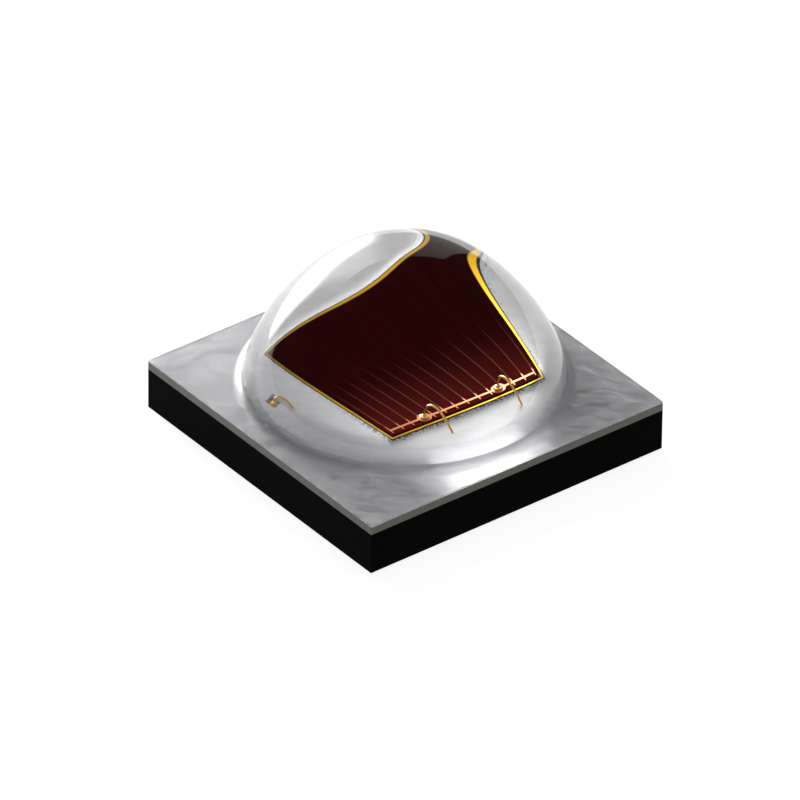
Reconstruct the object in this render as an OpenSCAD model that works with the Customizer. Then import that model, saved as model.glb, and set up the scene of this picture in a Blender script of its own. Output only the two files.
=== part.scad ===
// High-power light emitting diode in a square ceramic package with a domed silicone lens.
// Millimetres. +Z is up, the origin is the middle of the solder plane under the package.
// The bond wires run towards -Y, the protection diode sits at -X.

/* [Package] */
// Side of the square package
package_size = 3.45; // [3.35:0.05:4]
// Thickness of the black ceramic
ceramic_thickness = 0.43; // [0.3:0.01:0.7]
// Thickness of the flat cover on the ceramic, white fill and clear film together
cover_thickness = 0.10; // [0.08:0.01:0.12]

/* [Lens] */
// Thickness of the clear film that runs out from the dome over the whole top
film_thickness = 0.02; // [0.01:0.005:0.03]
// Radius of the dome at its foot
dome_radius = 1.52; // [1.48:0.01:1.53]
// Height of the dome above the film
dome_height = 1.46; // [1.4:0.005:1.55]
// How far the crown stays flat, as a share of the dome's radius
crown_share = 0.42; // [0.35:0.01:0.5]
// How far out the dome's shoulder reaches, as a share of the dome's radius
shoulder_reach = 0.67; // [0.62:0.01:0.72]
// How high the dome's shoulder stands, as a share of the dome's height
shoulder_height = 0.80; // [0.76:0.01:0.84]
// How far the wall stays steep, as a share of the dome's height
wall_share = 0.18; // [0.15:0.01:0.3]
// Radius of the fillet where the dome meets the film
foot_fillet = 0.115; // [0.05:0.005:0.14]

/* [Top metal] */
// Thickness of the silver-plated metal on the ceramic
metal_thickness = 0.03; // [0.02:0.005:0.04]
// Bare ceramic left around the metal
metal_margin = 0.075; // [0.05:0.005:0.15]
// Width of the isolating gap between the die pad and the bond pad
metal_gap = 0.08; // [0.05:0.01:0.12]
// Metal beyond the chip's size on the side of the bond pad
chip_border = 0.05; // [0.02:0.01:0.08]
// Radius of the metal's outer corners
metal_corner = 0.10; // [0.02:0.01:0.2]

/* [Solder pads] */
// Thickness of the pads under the ceramic
solder_pad_thickness = 0.03; // [0.02:0.005:0.06]
// Length of all three pads, and the reach across them
solder_pad_span = 3.30; // [3.0:0.05:3.3]
// Width of each of the two electrical pads
contact_pad_width = 0.50; // [0.3:0.05:0.6]
// Width of the thermal pad in the middle
thermal_pad_width = 1.30; // [1.0:0.05:1.5]
// Radius of the pads' corners
pad_corner = 0.05; // [0.02:0.01:0.1]

/* [Vias] */
// Diameter of a filled hole through the ceramic
via_diameter = 0.20; // [0.1:0.01:0.25]
// Filled holes over each electrical pad
via_count = 4; // [2:1:5]
// Distance from one filled hole to the next
via_pitch = 0.70; // [0.4:0.05:0.7]

/* [Chip] */
// Side of the chip's base
chip_size = 1.52; // [1.3:0.01:1.54]
// Distance from the package's middle to the chip's, towards +X
chip_x = 0.018; // [0:0.002:0.03]
// Distance from the package's middle to the chip's, towards -Y
chip_y = 0.020; // [0:0.002:0.03]
// Thickness of the solder under the chip
chip_solder_thickness = 0.02; // [0.01:0.005:0.04]
// Solder held back from the chip's edge
solder_setback = 0.02; // [0.01:0.005:0.04]
// Thickness of the chip's base
chip_base_thickness = 0.134; // [0.1:0.002:0.16]
// Dark edge of the base around the gold mirror
mirror_setback = 0.008; // [0.004:0.001:0.02]
// Thickness of the gold mirror
mirror_thickness = 0.006; // [0.004:0.001:0.01]
// Gold rim left around the emitting layer
rim_width = 0.034; // [0.02:0.001:0.05]
// Thickness of the emitting layer
emitter_thickness = 0.010; // [0.006:0.001:0.02]

/* [Contact grid] */
// Thickness of the grid on the emitting layer
grid_thickness = 0.004; // [0.003:0.001:0.008]
// Thin fingers across the chip
finger_count = 14; // [7:1:15]
// Width of a finger
finger_width = 0.008; // [0.005:0.001:0.012]
// Emitting layer left bare beyond the grid
grid_border = 0.022; // [0.015:0.001:0.04]
// Distance from the emitting layer's edge to the middle of the bus bar
bus_inset = 0.066; // [0.066:0.001:0.1]
// Width of the bus bar
bus_width = 0.022; // [0.015:0.001:0.03]
// Diameter of a bond pad on the bus bar
bond_pad_diameter = 0.12; // [0.1:0.002:0.13]
// Distance between the two bond pads
bond_pad_spacing = 0.69; // [0.4:0.01:0.9]

/* [Bond wires] */
// Diameter of the gold wire
wire_diameter = 0.020; // [0.016:0.001:0.025]
// Diameter of the squashed ball on the chip
ball_diameter = 0.080; // [0.06:0.002:0.09]
// Height of the squashed ball
ball_height = 0.034; // [0.03:0.002:0.05]
// Height of the loop's top above the grid
loop_height = 0.16; // [0.12:0.005:0.22]
// Distance from the bond pad's inner edge to where a wire lands
landing_depth = 0.13; // [0.08:0.01:0.16]
// Length of the flattened end
stitch_length = 0.06; // [0.04:0.005:0.1]
// Sideways drift of a wire from its ball to its landing
wire_drift = 0.10; // [0:0.01:0.12]

/* [Protection diode] */
// Side of the square protection diode
diode_size = 0.18; // [0.16:0.01:0.2]
// Thickness of the protection diode
diode_thickness = 0.075; // [0.05:0.005:0.08]
// Thickness of the solder under it
diode_solder_thickness = 0.015; // [0.01:0.001:0.02]
// Distance from the package's middle to the diode's, towards -X
diode_x = 1.13; // [1.11:0.005:1.16]
// Distance from the package's middle to the diode's, towards +Y
diode_y = 0.305; // [0.29:0.005:0.33]
// Diameter of the contact on the diode
diode_contact_diameter = 0.11; // [0.08:0.005:0.13]
// Diameter of the squashed ball on the diode
diode_ball_diameter = 0.062; // [0.05:0.002:0.07]
// Height of the diode wire's loop above its contact
diode_loop_height = 0.10; // [0.08:0.005:0.13]
// Distance that the diode's wire spans towards -Y
diode_wire_span = 0.30; // [0.28:0.01:0.36]
// Sideways drift of the diode's wire towards the chip
diode_wire_drift = 0.10; // [0:0.01:0.12]

/* [White fill] */
// Depth of the fill's top below the gold rim
fill_drop = 0.03; // [0.01:0.005:0.04]
// Distance from the dome's foot in to the foot of the fill's mound
mound_margin = 0.10; // [0.06:0.01:0.14]
// Flat stretch of the mound beyond the chip's corners
mound_shoulder = 0.04; // [0.04:0.005:0.05]
// Diode's top that the fill covers on each side
fill_lap = 0.022; // [0.01:0.002:0.03]

/* [Hidden] */

// Heights of the layers, from the solder plane up
ceramic_z = solder_pad_thickness;
ceramic_top_z = ceramic_z + ceramic_thickness;
film_top_z = ceramic_top_z + cover_thickness;
film_z = film_top_z - film_thickness;
metal_top_z = ceramic_top_z + metal_thickness;
chip_base_z = metal_top_z + chip_solder_thickness;
mirror_z = chip_base_z + chip_base_thickness;
emitter_z = mirror_z + mirror_thickness;
grid_z = emitter_z + emitter_thickness;
grid_top_z = grid_z + grid_thickness;
diode_z = metal_top_z + diode_solder_thickness;
diode_top_z = diode_z + diode_thickness;
diode_contact_top_z = diode_top_z + grid_thickness;

// Plan sizes that follow from the driving ones
metal_size = package_size - 2 * metal_margin;
mirror_size = chip_size - 2 * mirror_setback;
emitter_size = mirror_size - 2 * rim_width;
grid_size = emitter_size - 2 * grid_border;
bus_y = bus_inset - emitter_size / 2;
die_pad_front_y = -(chip_size / 2 + chip_border);
bond_pad_back_y = die_pad_front_y - metal_gap;
die_pad_arm_y = diode_y - diode_size / 2 - chip_border;
bond_pad_arm_y = die_pad_arm_y - metal_gap;

// Where the wires land, kept off the metal's edge
landing_y = bond_pad_back_y - landing_depth;
diode_landing_y = diode_y - diode_wire_span;

// The dome's outline is one curve from its top, level there, to its wall, upright there
dome_top_z = film_top_z + dome_height;
wall_z = film_top_z + foot_fillet;
dome_curve = [
    [0, dome_top_z],
    [crown_share * dome_radius, dome_top_z],
    [shoulder_reach * dome_radius, film_top_z + shoulder_height * dome_height],
    [dome_radius, wall_z + wall_share * dome_height],
    [dome_radius, wall_z]
];

// The fill covers the whole top. Its mound is flat around the chip and then falls in an arc.
mound_radius = dome_radius - mound_margin;
mound_flat_radius = chip_size / sqrt(2) + mound_shoulder;
mound_z = emitter_z - fill_drop;
mound_fall = mound_z - film_z;
mound_run = mound_radius - mound_flat_radius;
mound_arc = (pow(mound_run, 2) + pow(mound_fall, 2)) / (2 * mound_fall);
window_size = diode_size - 2 * fill_lap;

// Facets of the true curves, of the dome's outline and of the swept wires
$fn = 96;
dome_steps = 28;
wire_sides = 8;
rise_steps = 7;
fall_steps = 8;

ceramic_colour = [0.05, 0.05, 0.055];
silver_colour = [0.80, 0.81, 0.83];
copper_colour = [0.85, 0.52, 0.34];
gold_colour = [0.95, 0.74, 0.22];
solder_colour = [0.62, 0.62, 0.64];
base_colour = [0.17, 0.18, 0.19];
emitter_colour = [0.20, 0.02, 0.03];
grid_colour = [0.80, 0.50, 0.40];
fill_colour = [0.93, 0.94, 0.95];
lens_colour = [0.80, 0.84, 0.88, 0.35];

// A plate with round corners, with its underside at z = 0
module rounded_plate(size, corner, thickness) {
    long = size.x / 2 - corner;
    short = size.y / 2 - corner;
    linear_extrude(thickness) {
        square([size.x, size.y - 2 * corner], center = true);
        square([size.x - 2 * corner, size.y], center = true);
        for (x = [-long, long], y = [-short, short])
            translate([x, y]) circle(corner);
    }
}

// A plate given by its lower left and upper right corners
module plate_between(low, high, corner, thickness) {
    translate([(low.x + high.x) / 2, (low.y + high.y) / 2])
        rounded_plate([high.x - low.x, high.y - low.y], corner, thickness);
}

// A square slab centred on the Z axis
module square_slab(side, z, thickness) {
    translate([-side / 2, -side / 2, z]) cube([side, side, thickness]);
}

// A row of filled holes at one Y, with its ends at the ceramic's two faces
module via_row(y) {
    first_x = -(via_count - 1) * via_pitch / 2;
    for (i = [0 : via_count - 1])
        translate([first_x + i * via_pitch, y, ceramic_z])
            cylinder(h = ceramic_thickness, d = via_diameter);
}

// Point at t on a curve with any number of control points
function curve_point(c, t) =
    len(c) == 1 ? c[0]
    : curve_point([for (i = [0 : len(c) - 2]) (1 - t) * c[i] + t * c[i + 1]], t);

function unit(v) = v / norm(v);

// Direction of the path at its point i, from its neighbours
function heading(path, i) =
    unit(path[min(i + 1, len(path) - 1)] - path[max(i - 1, 0)]);

// One ring of a wire that stays in an upright plane: side is level and across the wire,
// half_w and half_h are its half width and half height. Its flats face up, down and sideways.
function wire_ring(centre, direction, side, half_w, half_h) =
    let (across = cross(direction, side), flat = 1 / cos(180 / wire_sides))
    [for (k = [0 : wire_sides - 1])
        let (angle = (k + 0.5) * 360 / wire_sides)
        centre + flat * (half_w * cos(angle) * side + half_h * sin(angle) * across)];

// Closed surface through equal rings
module skin(rings) {
    sides = len(rings[0]);
    last = len(rings) - 1;
    points = [for (ring = rings) for (p = ring) p];
    walls = [for (i = [0 : last - 1], k = [0 : sides - 1])
        let (a = i * sides + k, b = i * sides + (k + 1) % sides)
        each [[a, a + sides, b], [b, a + sides, b + sides]]];
    start_cap = [for (k = [0 : sides - 1]) k];
    end_cap = [for (k = [sides - 1 : -1 : 0]) last * sides + k];
    polyhedron(points = points, faces = concat([start_cap], walls, [end_cap]));
}

// Upright hook from start to the loop's top
function rise_curve(start, top, ahead) =
    let (
        roundness = 0.6,
        height = top.z - start.z,
        reach = norm([top.x - start.x, top.y - start.y])
    )
    [start, start + [0, 0, roundness * height], top - roundness * reach * ahead, top];

// Slanting leg from the loop's top down to the metal
function fall_curve(top, touch, ahead) =
    let (
        level_share = 0.35,
        slope_share = [0.25, 0.45],
        drop = top.z - touch.z,
        reach = norm([touch.x - top.x, touch.y - top.y])
    )
    [
        top,
        top + level_share * reach * ahead,
        touch - slope_share.x * reach * ahead + [0, 0, slope_share.y * drop],
        touch
    ];

// Ball, looped wire and flattened end in one piece: from a ball on a contact at foot,
// up by loop, over to landing on the metal, and a stitch along the same heading
module ball_and_loop(foot, landing, ball, loop) {
    radius = wire_diameter / 2;
    top_share = 0.24;
    level = [landing.x - foot.x, landing.y - foot.y, 0];
    ahead = unit(level);
    side = [ahead.y, -ahead.x, 0];
    stitch_half_h = 0.35 * radius;
    stitch_half_w = 1.9 * radius;
    start = foot + [0, 0, ball_height - 0.5 * radius];
    top = foot + [0, 0, loop - radius] + top_share * level;
    touch = landing + [0, 0, radius];
    rise = rise_curve(start, top, ahead);
    fall = fall_curve(top, touch, ahead);
    stitch_start = landing + [0, 0, stitch_half_h] + 0.5 * stitch_length * ahead;
    path = concat(
        [for (i = [0 : rise_steps]) curve_point(rise, i / rise_steps)],
        [for (i = [1 : fall_steps]) curve_point(fall, i / fall_steps)],
        [stitch_start, stitch_start + 0.5 * stitch_length * ahead]
    );
    rings = [for (i = [0 : len(path) - 1])
        let (
            flattened = i > rise_steps + fall_steps,
            half_w = flattened ? stitch_half_w : radius,
            half_h = flattened ? stitch_half_h : radius,
            direction = flattened ? ahead : (i == 0 ? [0, 0, 1] : heading(path, i))
        )
        wire_ring(path[i], direction, side, half_w, half_h)];
    skin(rings);
    translate(foot) bond_ball(ball);
}

// Squashed ball: a disc with a bulged wall under a cone that leads into the wire
module bond_ball(diameter) {
    disc_h = 0.55 * ball_height;
    bulge = disc_h / 2;
    cone_r = 0.32 * diameter;
    neck_r = 0.62 * wire_diameter;
    translate([0, 0, bulge]) rotate_extrude() {
        translate([0, -bulge]) square([diameter / 2 - bulge, disc_h]);
        intersection() {
            translate([diameter / 2 - bulge, 0]) circle(bulge);
            translate([0, -bulge]) square([diameter / 2, disc_h]);
        }
    }
    translate([0, 0, disc_h])
        cylinder(h = ball_height - disc_h, r1 = cone_r, r2 = neck_r);
}

module ceramic_body() {
    color(ceramic_colour) difference() {
        square_slab(package_size, ceramic_z, ceramic_thickness);
        via_row(-contact_pad_y());
        via_row(contact_pad_y());
    }
}

function contact_pad_y() = (solder_pad_span - contact_pad_width) / 2;

// The die pad carries the chip and, on an arm beside it, the protection diode
module die_pad() {
    reach = metal_size / 2;
    color(silver_colour) translate([0, 0, ceramic_top_z]) {
        plate_between([-chip_size / 2 - chip_border, die_pad_front_y], [reach, reach],
            metal_corner, metal_thickness);
        plate_between([-reach, die_pad_arm_y], [reach, reach], metal_corner, metal_thickness);
    }
}

// The bond pad is an L around the die pad's corner, with room for all three landings
module bond_pad() {
    reach = metal_size / 2;
    arm_x = -chip_size / 2 - chip_border - metal_gap;
    color(silver_colour) translate([0, 0, ceramic_top_z]) {
        plate_between([-reach, -reach], [reach, bond_pad_back_y], metal_corner, metal_thickness);
        plate_between([-reach, -reach], [arm_x, bond_pad_arm_y], metal_corner, metal_thickness);
    }
}

module bond_pad_vias() {
    color(copper_colour) via_row(-contact_pad_y());
}

module die_pad_vias() {
    color(copper_colour) via_row(contact_pad_y());
}

module bond_side_solder_pad() {
    color(gold_colour) translate([0, -contact_pad_y()])
        rounded_plate([solder_pad_span, contact_pad_width], pad_corner, solder_pad_thickness);
}

module die_side_solder_pad() {
    color(gold_colour) translate([0, contact_pad_y()])
        rounded_plate([solder_pad_span, contact_pad_width], pad_corner, solder_pad_thickness);
}

module thermal_solder_pad() {
    color(gold_colour)
        rounded_plate([solder_pad_span, thermal_pad_width], pad_corner, solder_pad_thickness);
}

module at_chip() {
    translate([chip_x, -chip_y]) children();
}

module chip_solder() {
    color(solder_colour) at_chip()
        square_slab(chip_size - 2 * solder_setback, metal_top_z, chip_solder_thickness);
}

module chip_base() {
    color(base_colour) at_chip() square_slab(chip_size, chip_base_z, chip_base_thickness);
}

// The gold mirror lies under the whole emitting layer and shows as a rim around it
module chip_mirror() {
    color(gold_colour) at_chip() square_slab(mirror_size, mirror_z, mirror_thickness);
}

module chip_emitter() {
    color(emitter_colour) at_chip() square_slab(emitter_size, emitter_z, emitter_thickness);
}

// Bus bar with its two bond pads, and the fingers that run through it across the chip
module chip_contact_grid() {
    first_x = -(grid_size - finger_width) / 2;
    pitch = (grid_size - finger_width) / (finger_count - 1);
    color(grid_colour) at_chip() translate([0, 0, grid_z]) linear_extrude(grid_thickness) {
        for (i = [0 : finger_count - 1])
            translate([first_x + i * pitch - finger_width / 2, -grid_size / 2])
                square([finger_width, grid_size]);
        translate([-grid_size / 2, bus_y - bus_width / 2]) square([grid_size, bus_width]);
        for (side = [-1, 1])
            translate([side * bond_pad_spacing / 2, bus_y]) circle(d = bond_pad_diameter);
    }
}

// One of the chip's two wires, on the bond pad at this side of the bus bar
module chip_wire(side) {
    foot = [chip_x + side * bond_pad_spacing / 2, bus_y - chip_y, grid_top_z];
    landing = [foot.x + wire_drift, landing_y, metal_top_z];
    color(gold_colour) ball_and_loop(foot, landing, ball_diameter, loop_height);
}

module bond_wire_left() {
    chip_wire(-1);
}

module bond_wire_right() {
    chip_wire(1);
}

module at_diode() {
    translate([-diode_x, diode_y]) children();
}

module diode_solder() {
    color(solder_colour) at_diode()
        square_slab(diode_size - solder_setback, metal_top_z, diode_solder_thickness);
}

module protection_diode() {
    color(base_colour) at_diode() square_slab(diode_size, diode_z, diode_thickness);
}

module diode_contact() {
    color(gold_colour) at_diode()
        translate([0, 0, diode_top_z]) cylinder(h = grid_thickness, d = diode_contact_diameter);
}

module diode_wire() {
    foot = [-diode_x, diode_y, diode_contact_top_z];
    landing = [foot.x + diode_wire_drift, diode_landing_y, metal_top_z];
    color(gold_colour) ball_and_loop(foot, landing, diode_ball_diameter, diode_loop_height);
}

// Outline of the fill's mound, from the axis out
module mound_outline() {
    translate([0, ceramic_top_z]) square([mound_flat_radius, mound_z - ceramic_top_z]);
    intersection() {
        translate([mound_flat_radius, mound_z - mound_arc]) circle(mound_arc, $fn = 180);
        translate([mound_flat_radius, film_z]) square([mound_run, mound_fall]);
    }
}

// The fill as poured, with the window that it leaves over the diode and nothing else cut out
module fill_blank() {
    difference() {
        union() {
            square_slab(package_size, ceramic_top_z, film_z - ceramic_top_z);
            rotate_extrude() mound_outline();
        }
        at_diode() square_slab(window_size, diode_top_z, mound_z);
    }
}

module top_metal() {
    die_pad();
    bond_pad();
}

// All that stands on the metal, apart from the fill
module mounted_parts() {
    chip_solder();
    chip_base();
    chip_mirror();
    chip_emitter();
    chip_contact_grid();
    bond_wire_left();
    bond_wire_right();
    diode_solder();
    protection_diode();
    diode_contact();
    diode_wire();
}

module white_fill() {
    color(fill_colour) difference() {
        fill_blank();
        top_metal();
        mounted_parts();
    }
}

// Outline of the dome and of the fillet at its foot, from the axis out
module dome_outline() {
    wall = [for (i = [0 : dome_steps]) curve_point(dome_curve, i / dome_steps)];
    polygon(concat([[0, film_z]], wall, [[dome_radius, film_z]]));
    difference() {
        translate([0, film_top_z]) square([dome_radius + foot_fillet, foot_fillet]);
        translate([dome_radius + foot_fillet, wall_z]) circle(foot_fillet);
    }
}

module lens() {
    color(lens_colour) difference() {
        union() {
            square_slab(package_size, film_z, film_thickness);
            rotate_extrude() dome_outline();
        }
        fill_blank();
        mounted_parts();
    }
}

ceramic_body();
die_pad();
bond_pad();
bond_pad_vias();
die_pad_vias();
bond_side_solder_pad();
die_side_solder_pad();
thermal_solder_pad();
chip_solder();
chip_base();
chip_mirror();
chip_emitter();
chip_contact_grid();
bond_wire_left();
bond_wire_right();
diode_solder();
protection_diode();
diode_contact();
diode_wire();
white_fill();
lens();
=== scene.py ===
"""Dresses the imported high-power LED: smooth lens, white fill, gold wires, materials, studio and camera."""

import math

import bmesh
import bpy
from bpy.props import FloatProperty, FloatVectorProperty, IntProperty, PointerProperty
from mathutils import Matrix, Vector


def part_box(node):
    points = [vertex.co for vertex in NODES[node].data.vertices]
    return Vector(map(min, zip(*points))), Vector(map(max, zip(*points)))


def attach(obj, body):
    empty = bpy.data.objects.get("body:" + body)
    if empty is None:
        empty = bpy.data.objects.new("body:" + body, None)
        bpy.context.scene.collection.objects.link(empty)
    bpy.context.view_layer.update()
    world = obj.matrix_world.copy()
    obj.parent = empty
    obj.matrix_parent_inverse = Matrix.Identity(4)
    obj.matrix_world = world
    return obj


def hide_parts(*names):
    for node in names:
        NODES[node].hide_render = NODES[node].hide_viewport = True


bl_info = {
    "name": "High-power LED dressing",
    "version": (1, 0, 0),
    "blender": (4, 5, 0),
    "location": "3D View > Sidebar > LED",
    "description": "Builds the lens, fill and wires on the packed frame and gives every surface its material",
    "category": "Object",
}

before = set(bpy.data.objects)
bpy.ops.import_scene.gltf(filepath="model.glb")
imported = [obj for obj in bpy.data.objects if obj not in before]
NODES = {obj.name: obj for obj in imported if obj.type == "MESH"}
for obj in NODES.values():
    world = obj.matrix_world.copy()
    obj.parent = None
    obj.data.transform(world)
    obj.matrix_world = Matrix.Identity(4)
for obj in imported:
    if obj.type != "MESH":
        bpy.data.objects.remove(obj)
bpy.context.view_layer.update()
MM = 0.001


def length(name, description, millimetres):
    """A length property with its default in millimetres."""
    return FloatProperty(name=name, description=description, default=millimetres * MM, unit="LENGTH", precision=6)


def share(name, description, value):
    """A property for a share, a strength or another plain number."""
    return FloatProperty(name=name, description=description, default=value, precision=4)


def tint(name, description, colour):
    """A colour property in scene linear values."""
    return FloatVectorProperty(
        name=name, description=description, default=colour, subtype="COLOR", size=3, min=0, max=1
    )


class LedLensSizes(bpy.types.PropertyGroup):
    """Sizes of the dome and its film"""

    package_side: length("Package side", "Side of the square package", 3.45)
    film_top: length("Film top", "Height of the flat film's top over the solder plane", 0.56)
    film_bottom: length("Film bottom", "Height of the white fill's flat part", 0.54)
    film_bevel: length("Film edge", "Round on the film's outer edge", 0.007)
    film_inset: length("Film inset", "How far the film's side stands back from the package's side", 0.001)
    embed: length("Embedding", "How far the lens reaches into what it was moulded on", 0.004)
    radius: length("Dome radius", "Radius of the dome at its foot", 1.52)
    height: length("Dome height", "Height of the dome over the film", 1.46)
    fillet: length("Foot fillet", "Fillet where the dome meets the film", 0.115)
    crown_share: share("Crown share", "How far the crown stays flat, as a share of the radius", 0.42)
    shoulder_reach: share("Shoulder reach", "How far out the shoulder reaches, as a share of the radius", 0.67)
    shoulder_height: share("Shoulder height", "How high the shoulder stands, as a share of the height", 0.80)
    wall_share: share("Wall share", "How far the wall stays steep, as a share of the height", 0.18)
    around: IntProperty(name="Steps around", description="Steps around the dome, a multiple of eight", default=192)
    up: IntProperty(name="Steps up", description="Steps along the dome's outline", default=56)
    fillet_steps: IntProperty(name="Fillet steps", description="Steps along the foot fillet", default=10)


class LedFillSizes(bpy.types.PropertyGroup):
    """Sizes of the white fill and of what it surrounds"""

    ceramic_top: length("Ceramic top", "Height of the ceramic's upper face", 0.46)
    mound_top: length("Mound top", "Height of the fill around the chip", 0.62)
    mound_radius: length("Mound radius", "Radius of the mound's foot", 1.42)
    flat_radius: length("Flat radius", "Radius of the mound's flat top", 1.1148)
    climb: length("Climb", "How high the fill climbs the chip's side over the mound", 0.021)
    climb_reach: length("Climb reach", "How far from the chip the fill starts to climb", 0.06)
    pocket_depth: length("Pocket depth", "How deep the chip's pocket goes under the flat fill", 0.03)
    window_side: length("Window side", "Side of the window over the diode", 0.136)
    window_radius: length("Window corner", "Round on the window's edges", 0.012)
    diode_x: length("Diode X", "Place of the protection diode along X", -1.13)
    diode_y: length("Diode Y", "Place of the protection diode along Y", 0.305)
    diode_top: length("Diode top", "Height of the protection diode's upper face", 0.58)
    climb_steps: IntProperty(name="Climb steps", description="Steps along the climb", default=4)
    mound_steps: IntProperty(name="Mound steps", description="Steps down the mound's edge", default=14)


class LedWireSizes(bpy.types.PropertyGroup):
    """Sizes of the bond wires"""

    wire_radius: length("Wire radius", "Radius of the gold wire", 0.010)
    ball_height: length("Ball height", "Height of a squashed ball", 0.034)
    ball_around: IntProperty(name="Ball steps", description="Steps around a ball", default=32)
    chip_ball: length("Chip ball", "Diameter of a ball on the chip", 0.080)
    diode_ball: length("Diode ball", "Diameter of the ball on the diode", 0.062)
    metal_top: length("Metal top", "Height of the metal that the wires land on", 0.49)
    top_share: share("Top share", "Where along its span a loop tops out", 0.24)
    bus_inset: length("Bus inset", "From the emitting layer's edge to the bus bar's middle", 0.066)
    foot_spread: length("Foot spread", "From the chip's middle to a wire's foot, along X", 0.345)
    drift: length("Drift", "How far a wire lands to one side of its foot", 0.10)
    landing_y: length("Landing Y", "Where the chip's wires land, along Y", -1.02)
    chip_loop: length("Chip loop", "Height of a loop over the chip", 0.16)
    diode_loop: length("Diode loop", "Height of the loop over the diode", 0.10)
    diode_run: length("Diode run", "How far the diode's wire runs along Y", 0.30)


class LedColours(bpy.types.PropertyGroup):
    """Colours of the finishes"""

    fill: tint("White fill", "Colour of the white silicone", (0.63, 0.63, 0.65))
    ceramic: tint("Ceramic", "Colour of the black ceramic", (0.0035, 0.0035, 0.0035))
    gold: tint("Gold", "Colour of the gold rim and plating", (0.82, 0.47, 0.03))
    wire: tint("Wire", "Colour of the gold wire", (0.85, 0.54, 0.19))
    grid: tint("Grid", "Colour of the contact grid", (0.70, 0.26, 0.12))
    finger: tint("Fingers", "Colour of the fingers near the bus bar", (0.17, 0.055, 0.030))
    emitter: tint("Emitter", "Colour of the emitting layer", (0.024, 0.0009, 0.0013))
    emitter_glow: tint("Emitter at the bus bar", "Colour of the emitting layer at the bus bar", (0.095, 0.009, 0.007))
    silver: tint("Silver", "Colour of the silver plating", (0.80, 0.80, 0.80))
    silicon: tint("Silicon", "Colour of the chip's base", (0.012, 0.016, 0.012))
    fringe: tint("Fringe", "Colour of the specks where the fill meets the chip", (0.06, 0.065, 0.08))
    # Painted shade: a darker colour that the fill's outer sides get for the shade that falls on them.
    side_shade_fill: tint("Sawn fill", "Colour of the fill's sawn side", (0.20, 0.21, 0.17))
    copper: tint("Copper", "Colour of the copper in the filled holes", (0.72, 0.36, 0.20))
    solder: tint("Solder", "Colour of the solder", (0.35, 0.35, 0.37))


def settings():
    """The values that the sidebar shows."""
    return bpy.context.scene


# Shader helpers


def add(tree, kind, **values):
    """Adds a node and sets its plain attributes, or its inputs by name."""
    node = tree.nodes.new(kind)
    for key, value in values.items():
        if hasattr(node, key):
            setattr(node, key, value)
        else:
            node.inputs[key.replace("_", " ")].default_value = value
    return node


def link(tree, source, target):
    """Joins an output socket to an input socket."""
    tree.links.new(source, target)


def blank_material(name):
    """A material with an empty tree, its output and a Principled shader."""
    material = bpy.data.materials.new(name)
    material.use_nodes = True
    tree = material.node_tree
    tree.nodes.clear()
    output = tree.nodes.new("ShaderNodeOutputMaterial")
    shader = tree.nodes.new("ShaderNodeBsdfPrincipled")
    link(tree, shader.outputs["BSDF"], output.inputs["Surface"])
    return material, tree, shader


def set_plain(shader, **values):
    """Sets constants on the shader's own sockets."""
    for key, value in values.items():
        shader.inputs[key.replace("_", " ")].default_value = value


def new_group(name, inputs, outputs):
    """An empty shader group with named sockets."""
    group = bpy.data.node_groups.new(name, "ShaderNodeTree")
    for label, kind, value in inputs:
        socket = group.interface.new_socket(name=label, in_out="INPUT", socket_type=kind)
        socket.default_value = value
    for label, kind in outputs:
        group.interface.new_socket(name=label, in_out="OUTPUT", socket_type=kind)
    return group, group.nodes.new("NodeGroupInput"), group.nodes.new("NodeGroupOutput")


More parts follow.
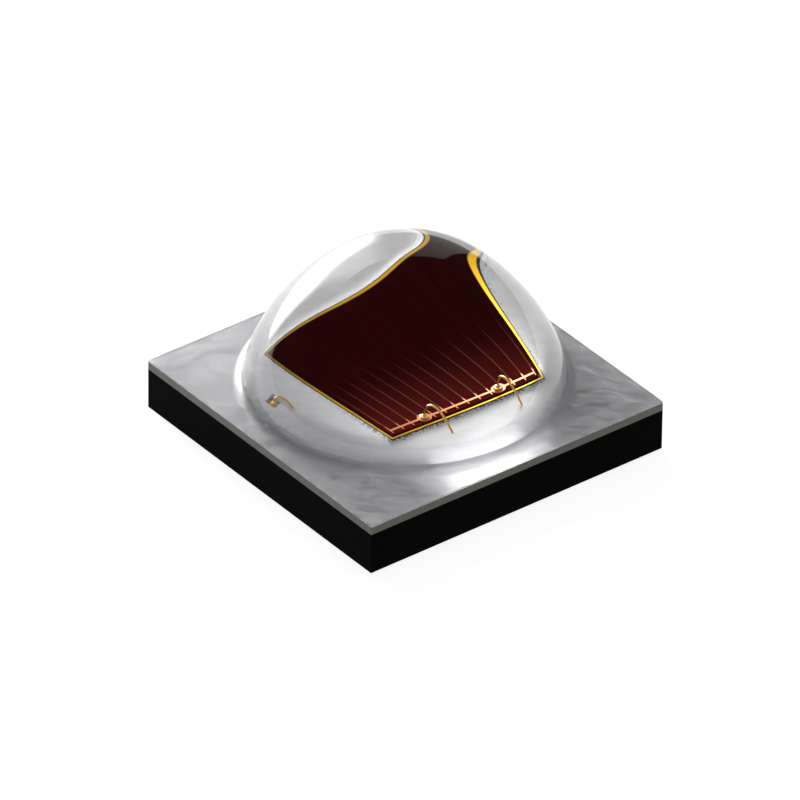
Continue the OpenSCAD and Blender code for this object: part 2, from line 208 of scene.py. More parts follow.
def mottle_group():
    """Soft patches, stretched and turned, with a fine grain on them: a colour and a height."""
    name = "mottled_surface"
    if name in bpy.data.node_groups:
        return bpy.data.node_groups[name]
    group, entry, leave = new_group(
        name,
        [
            ("Colour", "NodeSocketColor", (0.5, 0.5, 0.5, 1)),
            ("Patch Scale", "NodeSocketFloat", 2500.0),
            ("Grain Scale", "NodeSocketFloat", 40000.0),
            ("Patch Depth", "NodeSocketFloat", 0.15),
            ("Grain Depth", "NodeSocketFloat", 0.05),
            ("Stretch", "NodeSocketVector", (1.0, 1.0, 1.0)),
            ("Turn", "NodeSocketFloat", 0.0),
        ],
        [("Colour", "NodeSocketColor"), ("Height", "NodeSocketFloat")],
    )
    place = add(group, "ShaderNodeTexCoord")
    turned = add(group, "ShaderNodeVectorRotate", rotation_type="Z_AXIS")
    link(group, place.outputs["Object"], turned.inputs["Vector"])
    link(group, entry.outputs["Turn"], turned.inputs["Angle"])
    stretched = add(group, "ShaderNodeVectorMath", operation="MULTIPLY")
    link(group, turned.outputs[0], stretched.inputs[0])
    link(group, entry.outputs["Stretch"], stretched.inputs[1])
    patches = add(group, "ShaderNodeTexNoise", Detail=3.0, Roughness=0.55, Distortion=0.6)
    link(group, stretched.outputs[0], patches.inputs["Vector"])
    link(group, entry.outputs["Patch Scale"], patches.inputs["Scale"])
    grain = add(group, "ShaderNodeTexNoise", Detail=2.0, Roughness=0.6)
    link(group, place.outputs["Object"], grain.inputs["Vector"])
    link(group, entry.outputs["Grain Scale"], grain.inputs["Scale"])
    parts = []
    for noise, depth in ((patches, "Patch Depth"), (grain, "Grain Depth")):
        centred = add(group, "ShaderNodeMath", operation="SUBTRACT")
        centred.inputs[1].default_value = 0.5
        link(group, noise.outputs["Fac"], centred.inputs[0])
        scaled = add(group, "ShaderNodeMath", operation="MULTIPLY")
        link(group, centred.outputs[0], scaled.inputs[0])
        link(group, entry.outputs[depth], scaled.inputs[1])
        parts.append(scaled)
    total = add(group, "ShaderNodeMath", operation="ADD")
    link(group, parts[0].outputs[0], total.inputs[0])
    link(group, parts[1].outputs[0], total.inputs[1])
    factor = add(group, "ShaderNodeMath", operation="ADD")
    factor.inputs[1].default_value = 1.0
    link(group, total.outputs[0], factor.inputs[0])
    toned = add(group, "ShaderNodeVectorMath", operation="SCALE")
    link(group, entry.outputs["Colour"], toned.inputs[0])
    link(group, factor.outputs[0], toned.inputs["Scale"])
    link(group, toned.outputs[0], leave.inputs["Colour"])
    link(group, total.outputs[0], leave.inputs["Height"])
    return group


def mottled(tree, shader, colour, patches, grain, stretch=(1, 1, 1), turn=0.0, bump=None):
    """Puts the mottled group before the shader's colour, and before its bump where a distance is given.

    Patches and grain are each a scale, in features to the metre, and a depth.
    """
    group = add(tree, "ShaderNodeGroup", node_tree=mottle_group())
    values = {
        "Colour": (*colour, 1),
        "Patch Scale": patches[0],
        "Patch Depth": patches[1],
        "Grain Scale": grain[0],
        "Grain Depth": grain[1],
        "Stretch": stretch,
        "Turn": math.radians(turn),
    }
    for label, value in values.items():
        group.inputs[label].default_value = value
    link(tree, group.outputs["Colour"], shader.inputs["Base Color"])
    if bump:
        relief = add(tree, "ShaderNodeBump", Strength=1.0, Distance=bump)
        link(tree, group.outputs["Height"], relief.inputs["Height"])
        link(tree, relief.outputs["Normal"], shader.inputs["Normal"])
    return group


def ramp(tree, value, low, high, at_low, at_high):
    """A smooth step of a value between two limits."""
    step = add(tree, "ShaderNodeMapRange", interpolation_type="SMOOTHSTEP")
    for label, number in (("From Min", low), ("From Max", high), ("To Min", at_low), ("To Max", at_high)):
        step.inputs[label].default_value = number
    link(tree, value, step.inputs["Value"])
    return step.outputs[0]


def blend(tree, mask, colour, over):
    """The colour with a plain one laid over it where the mask is one."""
    mix = add(tree, "ShaderNodeMix", data_type="RGBA")
    mix.inputs[7].default_value = (*over, 1)
    link(tree, mask, mix.inputs[0])
    link(tree, colour, mix.inputs[6])
    return mix.outputs[2]


def along(tree, axis):
    """How far along one of the object's axes a point lies."""
    place = add(tree, "ShaderNodeTexCoord")
    apart = add(tree, "ShaderNodeSeparateXYZ")
    link(tree, place.outputs["Object"], apart.inputs[0])
    return apart.outputs[axis]


def square_reach(tree, middle):
    """How far out a point lies, measured as half the side of the square through it."""
    place = add(tree, "ShaderNodeTexCoord")
    out = add(tree, "ShaderNodeVectorMath", operation="SUBTRACT")
    out.inputs[1].default_value = middle
    link(tree, place.outputs["Object"], out.inputs[0])
    size = add(tree, "ShaderNodeVectorMath", operation="ABSOLUTE")
    link(tree, out.outputs[0], size.inputs[0])
    apart = add(tree, "ShaderNodeSeparateXYZ")
    link(tree, size.outputs[0], apart.inputs[0])
    reach = add(tree, "ShaderNodeMath", operation="MAXIMUM")
    link(tree, apart.outputs["X"], reach.inputs[0])
    link(tree, apart.outputs["Y"], reach.inputs[1])
    return reach.outputs[0]


def lens_silicone():
    """Clear silicone, polished on the dome and a little hazy on the flat film."""
    material, tree, shader = blank_material("lens_silicone")
    set_plain(shader, Base_Color=(1, 1, 1, 1), Transmission_Weight=1.0, IOR=1.462, Metallic=0.0)
    hazy = settings().led_fill.mound_top
    haze = ramp(tree, along(tree, "Z"), hazy, hazy + 0.12 * MM, 0.30, 0.015)
    link(tree, haze, shader.inputs["Roughness"])
    return material


def fill_silicone():
    """White fill with soft ripples, a dark speckled fringe where it meets the chip, and painted shade on its outer
    sides.
    """
    material, tree, shader = blank_material("fill_silicone")
    set_plain(shader, Roughness=0.45, Metallic=0.0)
    shader.inputs["Specular IOR Level"].default_value = 0.5
    colours = settings().led_colours
    calm, streaked = 0.30, 1.75
    group = mottled(
        tree, shader, colours.fill, patches=(14000.0, calm), grain=(60000.0, 0.12),
        stretch=(0.40, 1.1, 1.0), turn=38.0, bump=0.000006,
    )
    middle, half = node_square("chip_base")
    place = add(tree, "ShaderNodeTexCoord")
    far_out = add(tree, "ShaderNodeVectorMath", operation="LENGTH")
    link(tree, place.outputs["Object"], far_out.inputs[0])
    foot, spread = settings().led_lens.radius, 0.15 * MM
    depth = ramp(tree, far_out.outputs["Value"], foot - spread, foot + spread, calm, streaked)
    link(tree, depth, group.inputs["Patch Depth"])
    fringe_width = 0.07 * MM
    near = ramp(tree, square_reach(tree, middle), half, half + fringe_width, 0.40, 0.0)
    specks = add(tree, "ShaderNodeTexNoise", Scale=70000.0, Detail=2.0, Roughness=0.7)
    link(tree, place.outputs["Object"], specks.inputs["Vector"])
    above = add(tree, "ShaderNodeMath", operation="ADD")
    link(tree, specks.outputs["Fac"], above.inputs[0])
    front = add(tree, "ShaderNodeMath", operation="MULTIPLY")
    link(tree, near, front.inputs[0])
    wires_y, behind_y = -0.60 * MM, 0.10 * MM
    link(tree, ramp(tree, along(tree, "Y"), wires_y, behind_y, 1.0, 0.55), front.inputs[1])
    link(tree, front.outputs[0], above.inputs[1])
    mask = ramp(tree, above.outputs[0], 0.74, 1.0, 0.0, 1.0)
    dirty = blend(tree, mask, group.outputs["Colour"], colours.fringe)
    # Painted shade: the fill's outer sides take the darker side colour, standing in for the shade they lie in.
    side = settings().led_lens.package_side / 2
    skin = 0.001 * MM
    side_shade_mask = ramp(tree, square_reach(tree, Vector((0, 0, 0))), side - 3 * skin, side - skin, 0.0, 1.0)
    link(tree, blend(tree, side_shade_mask, dirty, colours.side_shade_fill), shader.inputs["Base Color"])
    return material


def body_ceramic():
    """Near-black sawn ceramic with a fine grain."""
    material, tree, shader = blank_material("body_ceramic")
    set_plain(shader, Roughness=0.7)
    shader.inputs["Specular IOR Level"].default_value = 0.02
    mottled(tree, shader, settings().led_colours.ceramic, patches=(6000.0, 0.8), grain=(90000.0, 1.2), bump=0.000002)
    return material


def metal(name, colour, roughness, patch_scale, patch_depth, bump=None):
    """A metal with soft patches and a fine grain in its colour."""
    material, tree, shader = blank_material(name)
    set_plain(shader, Roughness=roughness, Metallic=1.0)
    mottled(tree, shader, colour, patches=(patch_scale, patch_depth), grain=(60000.0, 0.1), bump=bump)
    return material


def gold_rim():
    """Gold round the chip's edge, dark where the flank of the emitting layer comes down to it."""
    colours = settings().led_colours
    material, tree, shader = blank_material("gold_rim")
    set_plain(shader, Roughness=0.42)
    shader.inputs["Specular IOR Level"].default_value = 0.0
    group = mottled(tree, shader, colours.gold, patches=(5000.0, 0.3), grain=(60000.0, 0.1))
    middle, half = node_square("chip_emitter")
    reach = square_reach(tree, middle)
    flank_foot, chip_end = half + 0.017 * MM, half + 0.06 * MM
    flank = ramp(tree, reach, flank_foot, flank_foot + 0.004 * MM, 1.0, 0.0)
    near = ramp(tree, reach, chip_end, chip_end + 0.02 * MM, 1.0, 0.0)
    both = add(tree, "ShaderNodeMath", operation="MULTIPLY")
    link(tree, flank, both.inputs[0])
    link(tree, near, both.inputs[1])
    link(tree, blend(tree, both.outputs[0], group.outputs["Colour"], colours.emitter), shader.inputs["Base Color"])
    link(tree, ramp(tree, both.outputs[0], 0.0, 1.0, 1.0, 0.0), shader.inputs["Metallic"])
    return material


def emitter_red():
    """Dark red semiconductor, a little redder towards the bus bar."""
    material, tree, shader = blank_material("emitter_red")
    set_plain(shader, Roughness=0.35, Metallic=0.0)
    shader.inputs["Specular IOR Level"].default_value = 0.0
    colours = settings().led_colours
    group = mottled(tree, shader, colours.emitter, patches=(1500.0, 0.5), grain=(30000.0, 0.1))
    bus, glow_end = -0.75 * MM, 0.10 * MM
    glow = ramp(tree, along(tree, "Y"), bus, glow_end, 0.75, 0.0)
    link(tree, blend(tree, glow, group.outputs["Colour"], colours.emitter_glow), shader.inputs["Base Color"])
    return material


def grid_copper():
    """Pinkish copper of the contact grid, tarnished dark towards the ends of its fingers."""
    colours = settings().led_colours
    material, tree, shader = blank_material("grid_copper")
    set_plain(shader, Roughness=0.4)
    shader.inputs["Specular IOR Level"].default_value = 0.0
    group = mottled(tree, shader, colours.grid, patches=(9000.0, 0.4), grain=(60000.0, 0.1))
    y = along(tree, "Y")
    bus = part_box("chip_contact_grid")[0][1]
    pads_end, fingers_fade = bus + 0.10 * MM, bus + 0.15 * MM
    dull = ramp(tree, y, pads_end, pads_end + 0.04 * MM, 0.0, 1.0)
    link(tree, ramp(tree, dull, 0.0, 1.0, 1.0, 0.0), shader.inputs["Metallic"])
    worn = blend(tree, dull, group.outputs["Colour"], colours.finger)
    far = ramp(tree, y, fingers_fade, fingers_fade + 0.80 * MM, 0.0, 1.0)
    link(tree, blend(tree, far, worn, colours.emitter), shader.inputs["Base Color"])
    return material


def sawn_silicon():
    """Sawn dark silicon of the chip's base and of the diode."""
    material, tree, shader = blank_material("sawn_silicon")
    set_plain(shader, Roughness=0.4)
    shader.inputs["Specular IOR Level"].default_value = 0.2
    mottled(tree, shader, settings().led_colours.silicon, patches=(9000.0, 0.5), grain=(90000.0, 0.5))
    return material


def finish(material_name):
    """The finish of that name, made on its first use."""
    if material_name in bpy.data.materials:
        return bpy.data.materials[material_name]
    colours = settings().led_colours
    makers = {
        "lens_silicone": lens_silicone,
        "fill_silicone": fill_silicone,
        "body_ceramic": body_ceramic,
        "emitter_red": emitter_red,
        "sawn_silicon": sawn_silicon,
        "gold_rim": gold_rim,
        "gold_plating": lambda: metal("gold_plating", colours.gold, 0.32, 2000.0, 0.12, bump=0.000002),
        "gold_wire": lambda: metal("gold_wire", colours.wire, 0.22, 9000.0, 0.25),
        "grid_copper": grid_copper,
        "pad_silver": lambda: metal("pad_silver", colours.silver, 0.4, 3000.0, 0.1),
        "copper_fill": lambda: metal("copper_fill", colours.copper, 0.4, 5000.0, 0.3),
        "dull_solder": lambda: metal("dull_solder", colours.solder, 0.45, 5000.0, 0.3),
    }
    return makers[material_name]()


# Mesh helpers


def node_square(name):
    """Middle and half side, seen from above, of a square CAD node."""
    low, high = (Vector(corner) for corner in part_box(name))
    middle = (low + high) / 2
    middle.z = 0
    return middle, (high.x - low.x) / 2


def make_piece(name, mesh_builder, material_name, replaced=(), sharp=35.0):
    """Turns a finished bmesh into a smooth-shaded piece that rides on the frame."""
    mesh = bpy.data.meshes.new(name)
    bmesh.ops.recalc_face_normals(mesh_builder, faces=mesh_builder.faces)
    mesh_builder.to_mesh(mesh)
    mesh_builder.free()
    mesh.polygons.foreach_set("use_smooth", [True] * len(mesh.polygons))
    mesh.set_sharp_from_angle(angle=math.radians(sharp))
    mesh.materials.append(finish(material_name))
    piece = bpy.data.objects.new(name, mesh)
    bpy.context.scene.collection.objects.link(piece)
    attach(piece, "root")
    if replaced:
        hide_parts(*replaced)
    return piece


def grow_ring(mesh_builder, edges, place):
    """Extrudes a ring of edges, puts its new corners where place says and gives the new ring back."""
    grown = bmesh.ops.extrude_edge_only(mesh_builder, edges=edges)["geom"]
    corners = {item for item in grown if isinstance(item, bmesh.types.BMVert)}
    for corner in corners:
        corner.co = place(corner.co)
    return [
        item for item in grown
        if isinstance(item, bmesh.types.BMEdge) and item.verts[0] in corners and item.verts[1] in corners
    ]


def on_square(half, z, middle=Vector((0, 0, 0))):
    """Moves a corner straight out from the middle onto a square around it."""
    def place(co):
        out = Vector((co.x - middle.x, co.y - middle.y, 0))
        return Vector((middle.x, middle.y, z)) + out * (half / max(abs(out.x), abs(out.y)))
    return place


def on_circle(radius, z, middle=Vector((0, 0, 0))):
    """Moves a corner onto a circle about the axis, in the direction that it has from the middle."""
    return lambda co: Vector((co.x - middle.x, co.y - middle.y, 0)).normalized() * radius + Vector((0, 0, z))


def curve_point(control, t):
    """Point at t on a curve with any number of control points."""
    points = [Vector(p) for p in control]
    while len(points) > 1:
        points = [a.lerp(b, t) for a, b in zip(points, points[1:])]
    return points[0]


def spin_outline(mesh_builder, outline, steps):
    """Spins an outline of (radius, height) about the axis and closes its seam and poles."""
    corners = [mesh_builder.verts.new((r, 0, z)) for r, z in outline]
    edges = [mesh_builder.edges.new(pair) for pair in zip(corners, corners[1:])]
    bmesh.ops.spin(
        mesh_builder, geom=corners + edges, cent=(0, 0, 0), axis=(0, 0, 1), angle=math.tau, steps=steps,
        use_merge=True,
    )
    bmesh.ops.remove_doubles(mesh_builder, verts=mesh_builder.verts, dist=0.00002 * MM)


def boundary(mesh_builder):
    """The open edges."""
    return [edge for edge in mesh_builder.edges if len(edge.link_faces) == 1]


# Pieces


class LED_OT_lens(bpy.types.Operator):
    """Builds the clear dome with its foot fillet and the flat film in one closed piece"""

    bl_idname = "led.lens"
    bl_label = "Lens"

    def execute(self, context):
        sizes = context.scene.led_lens
        top = sizes.film_top + sizes.height
        wall_z = sizes.film_top + sizes.fillet
        control = [
            (0, 0, top),
            (sizes.crown_share * sizes.radius, 0, top),
            (sizes.shoulder_reach * sizes.radius, 0, sizes.film_top + sizes.shoulder_height * sizes.height),
            (sizes.radius, 0, wall_z + sizes.wall_share * sizes.height),
            (sizes.radius, 0, wall_z),
        ]
        points = [curve_point(control, i / sizes.up) for i in range(sizes.up + 1)]
        outline = [(p.x, p.z) for p in points]
        for i in range(1, sizes.fillet_steps + 1):
            turn = math.radians(90) * i / sizes.fillet_steps
            outline.append((
                sizes.radius + sizes.fillet * (1 - math.cos(turn)),
                wall_z - sizes.fillet * math.sin(turn),
            ))
        bm = bmesh.new()
        spin_outline(bm, outline, sizes.around)
        half = sizes.package_side / 2 - sizes.film_inset
        edge = grow_ring(bm, boundary(bm), on_square(half - 2 * sizes.film_bevel, sizes.film_top))
        edge = grow_ring(bm, edge, on_square(half, sizes.film_top))
        rim = list(edge)
        edge = grow_ring(bm, edge, on_square(half, sizes.film_bottom - sizes.embed))
        bmesh.ops.bevel(
            bm, geom=rim, offset=sizes.film_bevel, affect="EDGES", segments=3, profile=0.5, material=-1
        )
        bmesh.ops.holes_fill(bm, edges=boundary(bm), sides=0)
        make_piece("clear_lens", bm, "lens_silicone", replaced=["lens"])
        return {"FINISHED"}


class LED_OT_fill(bpy.types.Operator):
    """Builds the white fill with its mound, its pocket for the chip and its window over the diode"""

    bl_idname = "led.fill"
    bl_label = "White fill"

    def execute(self, context):
        sizes = context.scene.led_fill
        lens = context.scene.led_lens
        half = lens.package_side / 2
        middle, chip = node_square("chip_base")
        bm = bmesh.new()
        ring = bmesh.ops.create_circle(bm, cap_ends=False, radius=chip, segments=lens.around)["verts"]
        for corner in ring:
            corner.co = on_square(chip, lens.film_bottom - sizes.pocket_depth, middle)(corner.co + middle)
        edges = list(bm.edges)
        for i in range(sizes.climb_steps + 1):
            out = i / sizes.climb_steps
            z = sizes.mound_top + sizes.climb * (1 - out) ** 2
            edges = grow_ring(bm, edges, on_square(chip + sizes.climb_reach * out, z, middle))
        edges = grow_ring(bm, edges, on_circle(sizes.flat_radius, sizes.mound_top, middle))
        run = sizes.mound_radius - sizes.flat_radius
        fall = sizes.mound_top - lens.film_bottom
        arc = (run * run + fall * fall) / (2 * fall)
        for i in range(1, sizes.mound_steps + 1):
            out = run * i / sizes.mound_steps
            z = sizes.mound_top - arc + math.sqrt(arc * arc - out * out)
            edges = grow_ring(bm, edges, on_circle(sizes.flat_radius + out, z))
        edges = grow_ring(bm, edges, on_square(half, lens.film_bottom))
        edges = grow_ring(bm, edges, on_square(half, sizes.ceramic_top))
        bmesh.ops.holes_fill(bm, edges=boundary(bm), sides=0)
        fill = make_piece("white_fill_cover", bm, "fill_silicone", replaced=["white_fill"])
        self.cut_window(fill, sizes)
        return {"FINISHED"}

    def cut_window(self, fill, sizes):
        """Cuts the round-edged window over the diode and keeps only the finished mesh."""
        bm = bmesh.new()
        bmesh.ops.create_cube(bm, size=1.0)
        side, height = sizes.window_side, 0.2 * MM
        middle = Vector((sizes.diode_x, sizes.diode_y, sizes.diode_top + height / 2))
        bmesh.ops.transform(
            bm, verts=bm.verts, matrix=Matrix.Translation(middle) @ Matrix.Diagonal((side, side, height, 1))
        )
        upright = [e for e in bm.edges if abs((e.verts[0].co - e.verts[1].co).z) > height / 2]
        bmesh.ops.bevel(
            bm, geom=upright, offset=sizes.window_radius, affect="EDGES", segments=4, profile=0.5, material=-1
        )
        mesh = bpy.data.meshes.new("window_cutter")
        bm.to_mesh(mesh)
        bm.free()
        cutter = bpy.data.objects.new("window_cutter", mesh)
        bpy.context.scene.collection.objects.link(cutter)
        cut = fill.modifiers.new("window", "BOOLEAN")
        cut.operation = "DIFFERENCE"
        cut.solver = "EXACT"
        cut.object = cutter
        graph = bpy.context.evaluated_depsgraph_get()
        result = bpy.data.meshes.new_from_object(fill.evaluated_get(graph))
        fill.modifiers.remove(cut)
        old = fill.data
        fill.data = result
        bpy.data.meshes.remove(old)
        bpy.data.objects.remove(cutter)


def ball_outline(diameter, height, wire_radius):
    """Outline of a squashed ball with the cone that leads into its wire."""
    disc = 0.55 * height
    bulge = disc / 2
    flat = diameter / 2 - bulge
    outline = [(0, 0), (0.5 * flat, 0)]
    side_steps, cone_steps, flare = 8, 6, 0.7
    for i in range(side_steps + 1):
        turn = math.radians(-90 + 180 * i / side_steps)
        outline.append((flat + bulge * math.cos(turn), bulge + bulge * math.sin(turn)))
    cone, neck = 0.32 * diameter, 1.24 * wire_radius
    for i in range(cone_steps + 1):
        t = i / cone_steps
        outline.append((cone + (neck - cone) * t ** flare, disc + (height - disc) * t))
    outline.append((0, height))
    return outline


def loop_points(foot, landing, sizes, loop):
    """Points along a wire from its ball, over its loop, down to its landing."""
    level = Vector((landing.x - foot.x, landing.y - foot.y, 0))
    ahead = level.normalized()
    lift = Vector((0, 0, 1))
    start = foot + lift * (sizes.ball_height - 0.5 * sizes.wire_radius)
    top = foot + lift * (loop - sizes.wire_radius) + sizes.top_share * level
    touch = landing + lift * sizes.wire_radius
    height, reach = top.z - start.z, sizes.top_share * level.length
    rise = [start, start + lift * 0.6 * height, top - ahead * 0.6 * reach, top]
    drop, reach = top.z - touch.z, (1 - sizes.top_share) * level.length
    fall = [top, top + ahead * 0.35 * reach, touch - ahead * 0.25 * reach + lift * 0.45 * drop, touch]
    rise_steps, fall_steps = 24, 32
    points = [curve_point(rise, i / rise_steps) for i in range(rise_steps + 1)]
    points += [curve_point(fall, i / fall_steps) for i in range(1, fall_steps + 1)]
    return points


def build_wire(name, foot, landing, ball, loop):
    """One wire with its ball as one piece, the wire swept along its loop and capped."""
    sizes = settings().led_wires
    points = loop_points(Vector(foot), Vector(landing), sizes, loop)
    curve = bpy.data.curves.new(name + "_path", "CURVE")
    curve.dimensions = "3D"
    curve.bevel_depth = sizes.wire_radius
    curve.bevel_resolution = 4
    curve.use_fill_caps = True
    spline = curve.splines.new("POLY")
    spline.points.add(len(points) - 1)
    for point, place in zip(spline.points, points):
        point.co = (*place, 1)
    holder = bpy.data.objects.new(name + "_path", curve)
    bpy.context.scene.collection.objects.link(holder)
    graph = bpy.context.evaluated_depsgraph_get()
    swept = bpy.data.meshes.new_from_object(holder.evaluated_get(graph))
    bpy.data.objects.remove(holder)
    bpy.data.curves.remove(curve)
    bm = bmesh.new()
    spin_outline(bm, ball_outline(ball, sizes.ball_height, sizes.wire_radius), sizes.ball_around)
    bmesh.ops.translate(bm, verts=bm.verts, vec=Vector(foot))
    bm.from_mesh(swept)
    bpy.data.meshes.remove(swept)
    bmesh.ops.remove_doubles(bm, verts=bm.verts, dist=0.00002 * MM)
    return bm


class LED_OT_wires(bpy.types.Operator):
    """Builds the two bond wires on the chip and the one on the diode, each with its ball"""

    bl_idname = "led.wires"
    bl_label = "Bond wires"

    def execute(self, context):
        sizes = context.scene.led_wires
        fill = context.scene.led_fill
        grid_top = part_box("chip_contact_grid")[1][2]
        middle, half = node_square("chip_emitter")
        for name, side in (("bond_wire_left", -1), ("bond_wire_right", 1)):
            foot = (middle.x + side * sizes.foot_spread, middle.y - half + sizes.bus_inset, grid_top)
            landing = (foot[0] + sizes.drift, sizes.landing_y, sizes.metal_top)
            bm = build_wire(name, foot, landing, sizes.chip_ball, sizes.chip_loop)
            make_piece("gold_" + name, bm, "gold_wire", replaced=[name], sharp=50)
        foot = (fill.diode_x, fill.diode_y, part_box("diode_contact")[1][2])
        landing = (foot[0] + sizes.drift, foot[1] - sizes.diode_run, sizes.metal_top)
        bm = build_wire("diode_wire", foot, landing, sizes.diode_ball, sizes.diode_loop)
        make_piece("gold_diode_wire", bm, "gold_wire", replaced=["diode_wire"], sharp=50)
        return {"FINISHED"}


class LED_OT_finishes(bpy.types.Operator):
    """Gives each CAD node that stays its own finish"""

    bl_idname = "led.finishes"
    bl_label = "Finishes"

    def execute(self, context):
        finishes = {
            "ceramic_body": "body_ceramic",
            "die_pad": "pad_silver",
            "bond_pad": "pad_silver",
            "bond_pad_vias": "copper_fill",
            "die_pad_vias": "copper_fill",
            "bond_side_solder_pad": "gold_plating",
            "die_side_solder_pad": "gold_plating",
            "thermal_solder_pad": "gold_plating",
            "chip_solder": "dull_solder",
            "chip_base": "sawn_silicon",
            "chip_mirror": "gold_rim",
            "chip_emitter": "emitter_red",
            "chip_contact_grid": "grid_copper",
            "diode_solder": "dull_solder",
            "protection_diode": "sawn_silicon",
            "diode_contact": "gold_rim",
        }
        for name, material_name in finishes.items():
            mesh_owner = NODES[name]
            mesh_owner.data.materials.clear()
            mesh_owner.data.materials.append(finish(material_name))
        return {"FINISHED"}


class LedStageSettings(bpy.types.PropertyGroup):
    """Light, floor and camera"""

    world: share("World", "Strength of the light from all round", 0.36)
    world_mirrored: share("World in reflections", "Strength of the world that smooth surfaces mirror", 0.03)
    panel_heading: share("Panel heading", "Where the soft panel stands, in degrees from +X towards +Y", 72.0)
    panel_distance: length("Panel distance", "From the part to the soft panel", 10.0)
    panel_width: length("Panel width", "Width of the soft panel", 18.0)
    panel_height: length("Panel height", "Height of the soft panel", 11.0)
    panel_rim: share("Panel rim", "Radiance at the panel's sides", 0.5)
    panel_low: share("Panel foot", "Radiance low down in the panel's bright part", 25.0)
    panel_high: share("Panel head", "Radiance high up in the panel's bright part", 3.0)
    camera_azimuth: share("Camera azimuth", "Side that the camera looks from, in degrees from -Y towards +X", -38.06)
    camera_elevation: share("Camera elevation", "Height that the camera looks from, in degrees", 33.98)
    camera_roll: share("Camera roll", "Turn of the camera about its view, in degrees", 0.70)
    camera_distance: length("Camera distance", "From the camera to what it looks at", 128.15)
    camera_lens: share("Camera lens", "Focal length for a sensor 36 mm wide, in millimetres", 610.32)
    floor_half: length("Floor", "Half the side of the square floor", 300.0)
    floor_colour: tint("Floor colour", "Colour that the floor shows its shadows in", (0.35, 0.35, 0.35))
    floor_lift: share("Floor lift", "What the floor adds to reach white, where it is seen", 0.88)


# Where the panel's bright part fades in and out, as shares of its width and its height.
PANEL_START = (0.36, 0.56)
PANEL_END = (0.71, 0.88)
PANEL_RISE = (0.13, 0.52)


def soft_panel(stage):
    """A soft panel beside the part, brightest low down and left of its middle, and fading from there."""
    width, height = stage.panel_width, stage.panel_height
    lamp = bpy.data.lights.new("soft_panel", "AREA")
    lamp.shape = "RECTANGLE"
    lamp.size = width
    lamp.size_y = height
    lamp.energy = math.pi * width * height
    lamp.use_nodes = True
    tree = lamp.node_tree
    place = add(tree, "ShaderNodeNewGeometry")
    apart = add(tree, "ShaderNodeSeparateXYZ")
    link(tree, place.outputs["Parametric"], apart.inputs[0])
    across = add(tree, "ShaderNodeMath", operation="MULTIPLY")
    link(tree, ramp(tree, apart.outputs["X"], *PANEL_START, 0.0, 1.0), across.inputs[0])
    link(tree, ramp(tree, apart.outputs["X"], *PANEL_END, 1.0, 0.0), across.inputs[1])
    glow = add(tree, "ShaderNodeMath", operation="MULTIPLY_ADD")
    link(tree, ramp(tree, apart.outputs["Y"], *PANEL_RISE, stage.panel_low, stage.panel_high), glow.inputs[0])
    link(tree, across.outputs[0], glow.inputs[1])
    glow.inputs[2].default_value = stage.panel_rim
    link(tree, glow.outputs[0], tree.nodes["Emission"].inputs["Strength"])
    holder = bpy.data.objects.new("soft_panel", lamp)
    bpy.context.scene.collection.objects.link(holder)
    heading = math.radians(stage.panel_heading)
    out = Vector((math.cos(heading), math.sin(heading), 0))
    middle = out * stage.panel_distance + Vector((0, 0, height / 2))
    holder.matrix_world = Matrix.Translation(middle) @ (-out).to_track_quat("-Z", "Y").to_matrix().to_4x4()


def view_axes(azimuth, elevation, roll):
    """Right, up and back of a camera that looks from that side."""
    a, e, r = (math.radians(v) for v in (azimuth, elevation, roll))
    back = Vector((math.sin(a) * math.cos(e), -math.cos(a) * math.cos(e), math.sin(e)))
    right = Vector((math.cos(a), math.sin(a), 0))
    up = back.cross(right)
    return right * math.cos(r) + up * math.sin(r), up * math.cos(r) - right * math.sin(r), back


def only_seen(tree):
    """One where a ray comes from the camera, a reflection or a refraction, and nought elsewhere."""
    path = add(tree, "ShaderNodeLightPath")
    total = path.outputs["Is Camera Ray"]
    for label in ("Is Glossy Ray", "Is Transmission Ray"):
        both = add(tree, "ShaderNodeMath", operation="ADD", use_clamp=True)
        link(tree, total, both.inputs[0])
        link(tree, path.outputs[label], both.inputs[1])
        total = both.outputs[0]
    return total


# What the camera looks at, in millimetres.
CAMERA_TARGET = Vector((0.2407, 0.3807, 0.038))


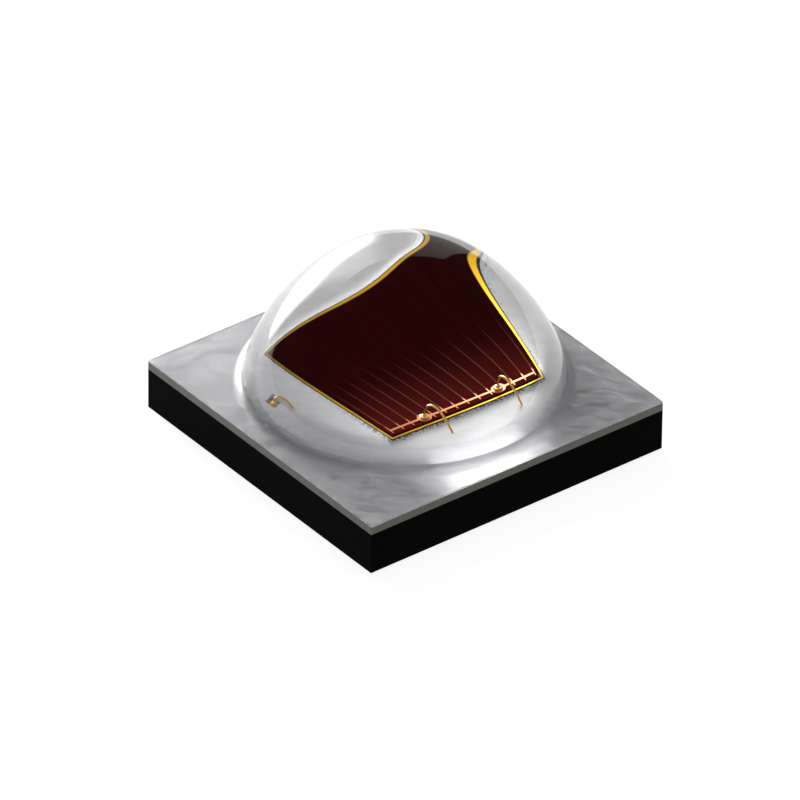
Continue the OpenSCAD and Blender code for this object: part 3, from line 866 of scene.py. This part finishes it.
class LED_OT_stage(bpy.types.Operator):
    """Sets up the pale floor, the soft light and the camera at the photograph's angle"""

    bl_idname = "led.stage"
    bl_label = "Stage"

    def execute(self, context):
        scene = context.scene
        stage = scene.led_stage
        scene.view_settings.view_transform = "Standard"
        # The bright patch that the lens throws on the film needs reflections that aren't blurred.
        scene.cycles.blur_glossy = 0.0
        self.build_floor(stage)
        self.build_world(stage)
        self.build_camera(stage)
        soft_panel(stage)
        return {"FINISHED"}

    def build_world(self, stage):
        """An even soft light from all round, which smooth surfaces mirror at its lower level."""
        world = bpy.data.worlds.new("studio")
        bpy.context.scene.world = world
        world.use_nodes = True
        background = world.node_tree.nodes["Background"]
        background.inputs["Color"].default_value = (1, 1, 1, 1)
        path = add(world.node_tree, "ShaderNodeLightPath")
        mirrored = add(world.node_tree, "ShaderNodeMath", operation="SUBTRACT", use_clamp=True)
        link(world.node_tree, path.outputs["Is Glossy Ray"], mirrored.inputs[0])
        link(world.node_tree, path.outputs["Is Transmission Ray"], mirrored.inputs[1])
        level = ramp(world.node_tree, mirrored.outputs[0], 0.0, 1.0, stage.world, stage.world_mirrored)
        link(world.node_tree, level, background.inputs["Strength"])

    def build_camera(self, stage):
        """The camera at the photograph's angle."""
        right, up, back = view_axes(stage.camera_azimuth, stage.camera_elevation, stage.camera_roll)
        camera = bpy.data.cameras.new("photo_camera")
        camera.sensor_fit = "HORIZONTAL"
        camera.sensor_width = 36.0
        camera.lens = stage.camera_lens
        camera.clip_start = 0.005
        camera.clip_end = 2.0
        holder = bpy.data.objects.new("photo_camera", camera)
        bpy.context.scene.collection.objects.link(holder)
        place = CAMERA_TARGET * MM + back * stage.camera_distance
        turn = Matrix((right, up, back)).transposed().to_4x4()
        holder.matrix_world = Matrix.Translation(place) @ turn
        bpy.context.scene.camera = holder

    def build_floor(self, stage):
        """A plain white floor that keeps the part's shadow."""
        material, tree, shader = blank_material("white_floor")
        set_plain(shader, Base_Color=(*stage.floor_colour, 1), Roughness=0.9)
        shader.inputs["Specular IOR Level"].default_value = 0.0
        shader.inputs["Emission Color"].default_value = (1, 1, 1, 1)
        lift = add(tree, "ShaderNodeMath", operation="MULTIPLY")
        lift.inputs[1].default_value = stage.floor_lift
        link(tree, only_seen(tree), lift.inputs[0])
        link(tree, lift.outputs[0], shader.inputs["Emission Strength"])
        bm = bmesh.new()
        bmesh.ops.create_grid(bm, x_segments=1, y_segments=1, size=stage.floor_half)
        under_pads = 0.0005 * MM
        bmesh.ops.translate(bm, verts=bm.verts, vec=(0, 0, -under_pads))
        mesh = bpy.data.meshes.new("floor")
        bm.to_mesh(mesh)
        bm.free()
        mesh.materials.append(material)
        floor = bpy.data.objects.new("floor", mesh)
        bpy.context.scene.collection.objects.link(floor)


class LED_PT_panel(bpy.types.Panel):
    """Lists the pieces and their sizes in the 3D view's sidebar"""

    bl_idname = "LED_PT_panel"
    bl_label = "High-power LED"
    bl_space_type = "VIEW_3D"
    bl_region_type = "UI"
    bl_category = "LED"

    def draw(self, context):
        layout = self.layout
        for group in ("led_lens", "led_fill", "led_wires", "led_colours", "led_stage"):
            values = getattr(context.scene, group)
            box = layout.box()
            for key in values.__annotations__:
                box.prop(values, key)
        for operator in PIECES:
            layout.operator(operator.bl_idname)


PIECES = (LED_OT_finishes, LED_OT_fill, LED_OT_wires, LED_OT_lens, LED_OT_stage)
GROUPS = {
    "led_lens": LedLensSizes,
    "led_fill": LedFillSizes,
    "led_wires": LedWireSizes,
    "led_colours": LedColours,
    "led_stage": LedStageSettings,
}


def register():
    """Registers the classes and hangs the values on the scene."""
    for item in (*GROUPS.values(), *PIECES, LED_PT_panel):
        bpy.utils.register_class(item)
    for name, group in GROUPS.items():
        setattr(bpy.types.Scene, name, PointerProperty(type=group))


def unregister():
    """Takes the values and the classes away again."""
    for name in GROUPS:
        delattr(bpy.types.Scene, name)
    for item in (LED_PT_panel, *reversed(PIECES), *reversed(GROUPS.values())):
        bpy.utils.unregister_class(item)


def main():
    """Builds everything in order."""
    register()
    bpy.ops.led.finishes()
    bpy.ops.led.fill()
    bpy.ops.led.wires()
    bpy.ops.led.lens()
    bpy.ops.led.stage()


if __name__ == "__main__":
    main()
